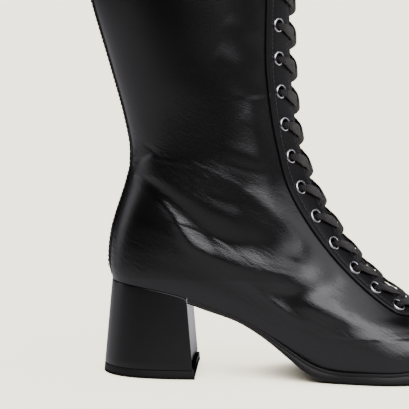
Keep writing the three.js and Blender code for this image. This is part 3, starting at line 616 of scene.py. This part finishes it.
def edge_height(distance, wall):
    """Height of a leather overlay near its cut edge: a quarter round that starts part of
    the way up the wall, and a shallow groove under the stitch row."""
    t = np.clip(1 - distance / EDGE_SOFT, 0, 1)
    groove = GROOVE_DEPTH * np.exp(-(((distance - STITCH_INSET) / GROOVE_WIDTH) ** 2))
    return wall * (EDGE_START + (1 - EDGE_START) * np.sqrt(1 - t * t)) - groove


def free_of_eyelets(points):
    """Cells of a grid that aren't in an eyelet's hole."""
    cells = (points[:-1, :-1] + points[1:, :-1] + points[1:, 1:] + points[:-1, 1:]) / 4
    free = np.ones(cells.shape[:2], bool)
    for centre, normal in zip(EYE_CENTRES, EYE_NORMALS):
        away = cells - centre
        along = (away * normal).sum(-1, keepdims=True)
        radial = np.linalg.norm(away - along * normal, axis=-1)
        free &= (radial > EYELET_CUT) | (np.abs(along[..., 0]) > EYELET_RADIUS)
    return free


def add_upper(rows=214, columns=200):
    """One wall from the sole to the collar, open below, above and at the throat."""
    way = np.linspace(0, 1, rows + 1)[:, None]
    start = throat_angle(way)
    angle = start + (2 * math.pi - 2 * start) * np.linspace(0, 1, columns + 1)
    way = np.broadcast_to(way, angle.shape)
    smooth_outer = surface(angle, way)
    rim = COLLAR_ROUND * np.clip(1 - (1 - way) * WAY_LENGTH / COLLAR_ROUND_HEIGHT, 0, 1) ** 2
    outer = raised(angle, way, relief(smooth_outer, angle, way) - rim)
    inner = raised(angle, way, rim - UPPER_WALL)
    keep = free_of_eyelets(smooth_outer)
    points, quads, inside = shell(outer, inner, keep, way[:-1, 0] >= THROAT_AT)
    add_piece("upper_leather", points, quads, [LEATHER, LINING], ["upper"], inside)


def add_facing(rows=250, columns=30):
    """Overlay on both sides of the throat, joined round its lower end."""
    way = np.linspace(FACING_START, 1, rows + 1)[:, None]
    start, end = throat_angle(way), facing_angle(way)
    share = np.linspace(0, 1, columns + 1)
    angle = start + (end - start) * (1 - np.cos(math.pi * share)) / 2
    reach = np.sin(angle) * half_width(-1, way)
    way = np.broadcast_to(way, angle.shape)
    to_edge = reach[:, -1:] - reach
    to_edge = np.minimum(to_edge, (way - FACING_START) * WAY_LENGTH + 1e-3)
    to_throat = np.where(way > THROAT_AT, reach - reach[:, :1], FAR_AWAY)
    height = FIT + edge_height(np.minimum(to_edge, to_throat), FACING_WALL)
    keep = free_of_eyelets(surface(angle, way))
    lateral = shell(raised(angle, way, height), raised(angle, way, np.full(angle.shape, FIT)), keep)
    flip = (slice(None), slice(None, None, -1))
    turned, height = -angle[flip], height[flip]
    keep = free_of_eyelets(surface(turned, way))
    medial = shell(raised(turned, way, height), raised(turned, way, np.full(angle.shape, FIT)), keep)
    points, quads = join([lateral[:2], medial[:2]])
    add_piece("facing_leather", points, quads, [FACING_LEATHER], ["facing"])


def add_back_strip(rows=200, columns=26):
    """Overlay on the back seam, wider towards the collar."""
    way = np.linspace(STRIP_START, 1, rows + 1)[:, None]
    across = -np.cos(math.pi * np.linspace(0, 1, columns + 1))
    reach = strip_reach(way)
    angle = math.pi + across * np.arcsin(reach / half_width(0, way))
    fade = STRIP_THIN + (1 - STRIP_THIN) * step(way * WAY_LENGTH, 0, STRIP_THIN_LENGTH)
    height = FIT * fade + edge_height(reach * (1 - np.abs(across)), STRIP_WALL) * fade
    way = np.broadcast_to(way, angle.shape)
    points, quads, _ = shell(raised(angle, way, height), raised(angle, way, np.full(angle.shape, FIT)))
    add_piece("back_strip_leather", points, quads, [LEATHER], ["back_strip"])


def add_tongue(rows=120, columns=32):
    """Padded sheet inside the throat, with a rounded top above the collar."""
    way = np.concatenate([np.linspace(TONGUE_START, 1, rows), np.ones(6)])[:, None]
    rise = np.concatenate([np.zeros(rows), np.linspace(0, 1, 7)[1:]])[:, None]
    across = np.linspace(-1, 1, columns + 1)
    angle = across * angle_for(TONGUE_REACH, way)
    way = np.broadcast_to(way, angle.shape)
    thin = 0.5 * TONGUE_WALL * np.clip(1 - (1 - np.abs(across)) / TONGUE_EDGE, 0, 1) ** 2
    thin = np.maximum(thin, 0.5 * TONGUE_WALL * rise ** 4)
    outer = raised(angle, way, -TONGUE_DEPTH - thin * 0.9)
    inner = raised(angle, way, -TONGUE_DEPTH - TONGUE_WALL + thin * 0.9)
    lift = rise * TONGUE_TOP * (1 - across ** 4 / 2)
    outer[..., 2] += lift
    inner[..., 2] += lift
    points, quads, _ = shell(outer, inner)
    add_piece("tongue_leather", points, quads, [FACING_LEATHER], ["tongue"])


def footprint(angle, distance):
    """Outline of the upper's lower edge in plan, moved outwards."""
    return raised(angle, np.zeros(np.shape(angle)), np.broadcast_to(distance, np.shape(angle)))[..., :2]


BREAST_ANGLE = math.acos(2 * (BREAST_X - BACK_X[0]) / (FRONT_X[0] - BACK_X[0]) - 1)


def add_outsole(columns=150):
    """Sole from the heel's front to the toe: rounded lower edge, side, then a groove and a
    raised line along its upper edge. It thins out under the arch."""
    angle = BREAST_ANGLE * (1 - np.cos(math.pi * np.linspace(0, 1, columns + 1) / 2) ** 1.5)
    angle[-1] = BREAST_ANGLE
    thick = body(surface(angle, 0)[:, 0])

    def ring(distance, height_at):
        """Outline of the sole moved outwards, less under the arch, with its height over x."""
        halves = []
        for turned in (angle, -angle):
            plan = footprint(turned, SOLE_LEDGE * thick + distance * (WAIST_EDGE + (1 - WAIST_EDGE) * thick))
            plan[-1, 0] = BREAST_X + FIT
            halves.append(np.column_stack([plan, height_at(plan[:, 0])]))
        middle = (halves[0][-1] + halves[1][-1]) / 2
        return np.concatenate([halves[0], middle[None], halves[1][:0:-1]])

    def top(x):
        """Upper face, where the upper sits."""
        return feather(x) - FIT

    def part(x, share):
        """Share of the raised line's height, which is limited by the sole's thickness."""
        return share * np.minimum(RIDGE_DEPTH, RIDGE_SHARE * (top(x) - underside(x)))

    loops = [ring(-EDGE_ROUND, underside)]
    for t in np.linspace(0.2, 1, 5) * math.pi / 2:
        loops.append(ring(
            -EDGE_ROUND * (1 - math.sin(t)),
            lambda x: underside(x) + part(x, EDGE_ROUND / RIDGE_DEPTH) * (1 - math.cos(t)),
        ))
    for proud, share in RIDGE_PROFILE:
        loops.append(ring(RIDGE_PROUD * proud, lambda x: top(x) - part(x, share)))
    points, quads = block(np.array(loops))
    add_piece("outsole_edge", points, quads, [SOLE_EDGE], ["outsole"], sharp=50)


def heel_loop(down, distance, height_at, proud=0.0, breast=14, columns=70):
    """Outline of the heel at a share of the way down. It widens downwards in both directions
    from the seat's outline, and its front is hollow by a parabola."""
    seat = footprint(np.array([BREAST_ANGLE]), 0)[0]
    stretch_x = 1 + (HEEL_BASE_LENGTH / (BREAST_X - BACK_X[0]) - 1) * down
    stretch_y = 1 + (HEEL_BASE_WIDTH / SEAT_WIDTH - 1) * down
    front = BREAST_X + distance + proud
    across = np.linspace(0, 1, breast + 1)[:-1]
    hollow = np.column_stack([front - BREAST_HOLLOW * (1 - across ** 2), seat[1] * across])
    angle = BREAST_ANGLE + (math.pi - BREAST_ANGLE) * np.linspace(0, 1, columns + 1)
    side = footprint(angle, distance)
    side[0, 0] = front
    side[-1, 1] = 0
    half = np.concatenate([hollow, side])
    loop = np.column_stack([
        BACK_X[0] - HEEL_FLARE * down + (half[:, 0] - BACK_X[0]) * stretch_x,
        half[:, 1] * stretch_y,
        np.broadcast_to(height_at(half[:, 0]), len(half)),
    ])
    return np.concatenate([loop, (loop * (1, -1, 1))[-2:0:-1]])


def add_heel():
    """Covered heel block with a rounded top edge and front corner, on a rubber tip."""
    def seat(x):
        """Upper face of the heel, with a quarter round down to its front corner."""
        corner = np.clip(1 - (BREAST_X - x) / HEEL_CORNER, 0, 1)
        return feather(x) - FIT - HEEL_CORNER * (1 - np.sqrt(1 - corner * corner))

    floor = TIP_THICKNESS + FIT
    loops = [heel_loop(1 - floor / HEEL_HEIGHT, -HEEL_LOW_EDGE, lambda x: floor)]
    for down in np.linspace(1 - floor / HEEL_HEIGHT - 0.01, 0.02, 14):
        share = down / (1 - floor / HEEL_HEIGHT)
        loops.append(heel_loop(down, 0, lambda x: floor + (seat(x) - floor) * (1 - share)))
    for t in np.linspace(0.1, 1, 6) * math.pi / 2:
        loops.append(heel_loop(
            0, -HEEL_TOP_EDGE * (1 - math.cos(t)), lambda x: seat(x) - HEEL_TOP_EDGE * (1 - math.sin(t)),
        ))
    points, quads = block(np.array(loops))
    add_piece("heel_cover", points, quads, [HEEL_LEATHER], ["heel_block"])
    loops = []
    corner = ((TIP_ROUND, 0), (TIP_ROUND / 4, TIP_ROUND / 4), (0, TIP_ROUND))
    upper = [(inset, TIP_THICKNESS - height) for inset, height in corner[::-1]]
    for inset, height in (*corner, *upper):
        loops.append(heel_loop(1 - height / HEEL_HEIGHT, -inset, lambda x: height, TIP_PROUD))
    points, quads = block(np.array(loops))
    add_piece("heel_tip", points, quads, [TIP_RUBBER], ["heel_top_piece"])


def add_eyelets(sides=36):
    """Rings with a rolled lip outside, a barrel through the leather and a washer inside: one
    outline turned about each eyelet's axis."""
    hole, barrel = LIP[0][0], LIP[-1][0]
    lining, low, edge = -UPPER_WALL - 0.05, -UPPER_WALL - WASHER, EYELET_RADIUS - 0.6
    outline = np.array([(hole, low), *LIP, (barrel, lining), (edge, lining), (edge, low)])
    turn = np.linspace(0, 2 * math.pi, sides, endpoint=False)
    rows = np.arange(sides * len(outline)).reshape(sides, len(outline))
    beside, above = np.roll(rows, -1, 0), np.roll(rows, -1, 1)
    quads = np.stack([rows, above, np.roll(above, -1, 0), beside], -1).reshape(-1, 4)
    parts = []
    for centre, normal in zip(EYE_CENTRES, EYE_NORMALS):
        side = unit(np.cross(normal, (0, 0, 1)))
        up = np.cross(side, normal)
        spoke = np.cos(turn)[:, None] * side + np.sin(turn)[:, None] * up
        ring = centre + spoke[:, None] * outline[:, 0, None] + normal * outline[:, 1, None]
        parts.append((ring.reshape(-1, 3), quads))
    nodes = [f"eyelet_{side}_{i + 1:02d}" for side in ("lateral", "medial") for i in range(EYELET_PAIRS)]
    points, quads = join(parts)
    add_piece("eyelet_rings", points, quads, [NICKEL], nodes)


def strap(side, from_way, to_way, gone, height, breadth, steps=56, sides=16):
    """Lace from one eyelet to another: a flat section with rounded edges, carried along its
    route. Where the lace is drawn together it gets thicker and curls."""
    knots = np.linspace(0, 1, len(gone))
    t = np.linspace(0, 1, steps)
    gone, height, breadth = (curve(knots, values, t) for values in (gone, height, breadth))
    reach = side * EYELET_REACH * (1 - 2 * gone)
    way = from_way + (to_way - from_way) * gone
    angle = np.sign(reach) * angle_for(np.abs(reach), way)
    normal = outward(angle, way)
    points = surface(angle, way) + normal * height[:, None]
    both_ways = np.array([from_way, to_way])
    ends = surface(side * np.array([1, -1]) * angle_for(EYELET_REACH, both_ways), both_ways)
    across = unit(np.cross(normal, ends[1] - ends[0]))
    forward = unit(np.gradient(points, axis=0))
    up = unit(np.cross(forward, across))
    turn = np.linspace(0, 2 * math.pi, sides, endpoint=False)
    wide = np.sign(np.cos(turn)) * np.abs(np.cos(turn)) ** 0.7
    high = np.sign(np.sin(turn)) * np.abs(np.sin(turn)) ** 0.8
    half = LACE_WIDTH / 2 * breadth[:, None] * wide
    thick = LACE_THICKNESS / 2 * (1 + LACE_SWELL * (1 - breadth[:, None])) * high
    curl = LACE_CURL * (1 - breadth[:, None]) * wide ** 2
    rings = points[:, None] + across[:, None] * half[..., None] + up[:, None] * (thick - curl)[..., None]
    length = np.concatenate([[0], np.cumsum(np.linalg.norm(np.diff(points, axis=0), axis=1))])
    run = np.stack(np.broadcast_arrays(length[:, None], half, 0 * half), -1)
    run = np.concatenate([run[:1], run, run[-1:]]).reshape(-1, 3)
    return tube(rings), run, length[-1]


def add_lace():
    """One lace: a straight bar between the lowest eyelets, then two laces that cross between
    each pair of eyelets and the next. Each comes out of its ring, runs down over the facing's
    edge, and goes back under the other facing. The lace from the medial side lies on top."""
    straps = [strap(1, WAYS[0], WAYS[0], BAR_GONE, BAR_HEIGHT, BAR_BREADTH)]
    for low, high in zip(WAYS[:-1], WAYS[1:]):
        straps.append(strap(1, high, low, ROUTE_GONE, ROUTE_UNDER, ROUTE_BREADTH))
        straps.append(strap(-1, high, low, ROUTE_GONE, ROUTE_OVER, ROUTE_BREADTH))
    points, quads = join([s[0] for s in straps])
    run = np.concatenate([s[1] for s in straps])
    nodes = [f"lace_crossing_{i + 1:02d}" for i in range(EYELET_PAIRS - 1)]
    add_piece("lace", points, quads, [WEAVE], nodes, run=run)
    return sum(s[2] for s in straps)


def stitch_row(angle, way, height, sides=6, rings=5):
    """Stitches along a line on the leather: short threads, bent into the leather at both ends
    by half a sine wave."""
    line = raised(angle, way, height)
    normal = outward(angle, way)
    gone = np.concatenate([[0], np.cumsum(np.linalg.norm(np.diff(line, axis=0), axis=1))])
    middle = np.arange(STITCH_PITCH / 2, gone[-1] - STITCH_PITCH / 2, STITCH_PITCH)
    share = np.linspace(0, 1, rings)
    at = middle[:, None] + (share - 0.5) * STITCH_LENGTH

    def read(values):
        """Values along the row, read at the points of each stitch."""
        return np.stack([np.interp(at, gone, values[:, k]) for k in range(3)], -1)

    up = unit(read(normal))
    centre = read(line) + up * (STITCH_BOW * np.sin(math.pi * share) - STITCH_SINK)[None, :, None]
    forward = unit(centre[:, -1:] - centre[:, :1])
    side = unit(np.cross(up, forward))
    turn = np.linspace(0, 2 * math.pi, sides, endpoint=False)
    across = np.cross(forward, side)
    spoke = side[:, :, None] * np.cos(turn)[:, None] + across[:, :, None] * np.sin(turn)[:, None]
    threads = centre[:, :, None] + spoke * STITCH_RADIUS
    return [tube(thread) for thread in threads]


def add_stitches(steps=900):
    """Rows along the facing's two edges, the back strip's edges and the collar."""
    parts = []
    way = np.linspace(FACING_START + STITCH_INSET / WAY_LENGTH, STITCH_TOP, steps)
    on_facing = np.full(steps, FIT + FACING_WALL - STITCH_SET)
    outer = np.sin(facing_angle(way)) * half_width(-1, way) - STITCH_INSET
    for side in (1, -1):
        parts += stitch_row(side * angle_for(outer, way), way, on_facing)
    way = np.linspace(THROAT_AT + THROAT_ROUND / 3, STITCH_TOP, steps)
    inner = np.sin(throat_angle(way)) * half_width(-1, way) + STITCH_INSET
    for side in (1, -1):
        parts += stitch_row(side * angle_for(inner, way), way, on_facing)
    way = np.linspace(STRIP_ROW_START, STITCH_TOP, steps)
    on_strip = np.full(steps, FIT + STRIP_WALL - STITCH_SET)
    reach = np.arcsin((strip_reach(way) - STITCH_INSET * 0.8) / half_width(0, way))
    for side in (1, -1):
        parts += stitch_row(math.pi + side * reach, way, on_strip)
    collar_way = 1 - COLLAR_ROW / WAY_LENGTH
    start = float(facing_angle(np.array(1.0))) + COLLAR_ROW_GAP
    end = math.pi - math.asin(STRIP_COLLAR / float(half_width(0, 1.0))) - COLLAR_ROW_GAP
    angle = np.linspace(start, end, steps)
    for side in (1, -1):
        parts += stitch_row(side * angle, np.full(steps, collar_way), np.zeros(steps))
    points, quads = join(parts)
    add_piece("stitches", points, quads, [THREAD])


add_upper()
add_facing()
add_back_strip()
add_tongue()
add_outsole()
add_heel()
add_eyelets()
LACE_LENGTH = add_lace()
add_stitches()
insole = frame["nodes"]["insole"]
insole.data.materials.clear()
insole.data.materials.append(LINING)

# Stage


def add_floor(half=20):
    """Pale floor that glows evenly, with a painted contact shadow: ambient occlusion dims its glow where
    something stands or hangs just above it. Its mirror image in the leather comes from the floor_glow
    lights."""
    mesh = bpy.data.meshes.new("floor")
    corners = [(-half, -half, 0), (half, -half, 0), (half, half, 0), (-half, half, 0)]
    mesh.from_pydata(corners, [], [(0, 1, 2, 3)])
    paint, shader = new_material("pale_floor", FLOOR_COLOR, 1, {
        "Specular IOR Level": 0, "Emission Color": (*FLOOR_COLOR, 1),
    })
    # Painted contact shadow: ambient occlusion dims the floor's glow under and beside the boot
    painted_contact_shadow = add_node(paint, "ShaderNodeAmbientOcclusion", {"Distance": 0.04})
    glow = add_node(paint, "ShaderNodeMapRange", {"From Min": 0.2, "From Max": 0.66, "To Max": FLOOR_GLOW})
    paint.node_tree.links.new(painted_contact_shadow.outputs["AO"], glow.inputs["Value"])
    paint.node_tree.links.new(glow.outputs["Result"], shader.inputs["Emission Strength"])
    mesh.materials.append(paint)
    floor = bpy.data.objects.new("floor", mesh)
    floor.visible_glossy = False
    bpy.context.collection.objects.link(floor)


def add_light(name, place, target, width, height, radiance):
    """Soft box that only shows as a reflection: a rectangle of even radiance that faces the
    target. Its power is the radiance times pi times its area."""
    data = bpy.data.lights.new(name, "AREA")
    data.shape, data.size, data.size_y = "RECTANGLE", width, height
    data.energy = radiance * math.pi * width * height
    data.color = BOX_COLOR
    light = bpy.data.objects.new(name, data)
    light.location = place
    light.rotation_mode = "QUATERNION"
    light.rotation_quaternion = (Vector(target) - Vector(place)).to_track_quat("-Z", "Y")
    light.visible_camera = False
    light.visible_diffuse = False
    bpy.context.collection.objects.link(light)


def add_sun(strength, spread, tilt, turn):
    """Even light from above with soft shadows."""
    data = bpy.data.lights.new("sky_light", "SUN")
    data.energy, data.angle = strength, math.radians(spread)
    light = bpy.data.objects.new("sky_light", data)
    light.rotation_euler = (math.radians(tilt), 0, math.radians(turn))
    light.visible_glossy = False
    bpy.context.collection.objects.link(light)


FLOOR_COLOR, FLOOR_GLOW = (0.8, 0.735, 0.59), 3.1
BOOT_MIDDLE, BOX_COLOR = (0.05, 0, 0.1), (0.97, 0.94, 1)
add_floor()
add_sun(3.5, 70, 10, 10)
for name, left, front, radiance in (
    ("behind", 0.05, -0.02, 1.3), ("near", -0.65, -0.26, 0.6), ("far", -0.65, -0.4, 0.3),
):
    add_light(f"floor_glow_{name}", (left + 1, front + 1, 0.001), (left + 1, front + 1, 1), 2, 2, radiance)
add_light("front_box", (0.75, -1.9, 2.0), BOOT_MIDDLE, 3.2, 1.9, 6)
add_light("front_low_box", (1.2, -2.7, 0.98), BOOT_MIDDLE, 3.2, 1.5, 2.6)
add_light("toe_box", (2.0, -0.6, 1.7), BOOT_MIDDLE, 2.4, 2.2, 2.2)
add_light("back_box", (0.2, 2.6, 0.9), BOOT_MIDDLE, 3.4, 1.8, 1.1)
add_light("left_box", (-1.7, 0.35, 0.6), BOOT_MIDDLE, 0.8, 1.4, 1.5)
world = bpy.data.worlds.new("studio")
bpy.context.scene.world = world
world.use_nodes = True
world.node_tree.nodes["Background"].inputs["Color"].default_value = (0.9, 0.92, 1, 1)
world.node_tree.nodes["Background"].inputs["Strength"].default_value = 0.03

# Camera, at the photo's place and angle
CAMERA_PLACE, CAMERA_TARGET = Vector((0.12063, -1.6, 0.357)), Vector((0.03469, 0.00006, 0.10639))
camera_data = bpy.data.cameras.new("camera")
camera_data.sensor_width, camera_data.lens = 36, 226.6
camera_data.clip_start, camera_data.clip_end = 0.05, 50
camera = bpy.data.objects.new("camera", camera_data)
camera.location = CAMERA_PLACE
camera.rotation_mode = "QUATERNION"
camera.rotation_quaternion = (CAMERA_TARGET - CAMERA_PLACE).to_track_quat("-Z", "Y")
bpy.context.collection.objects.link(camera)
bpy.context.scene.camera = camera
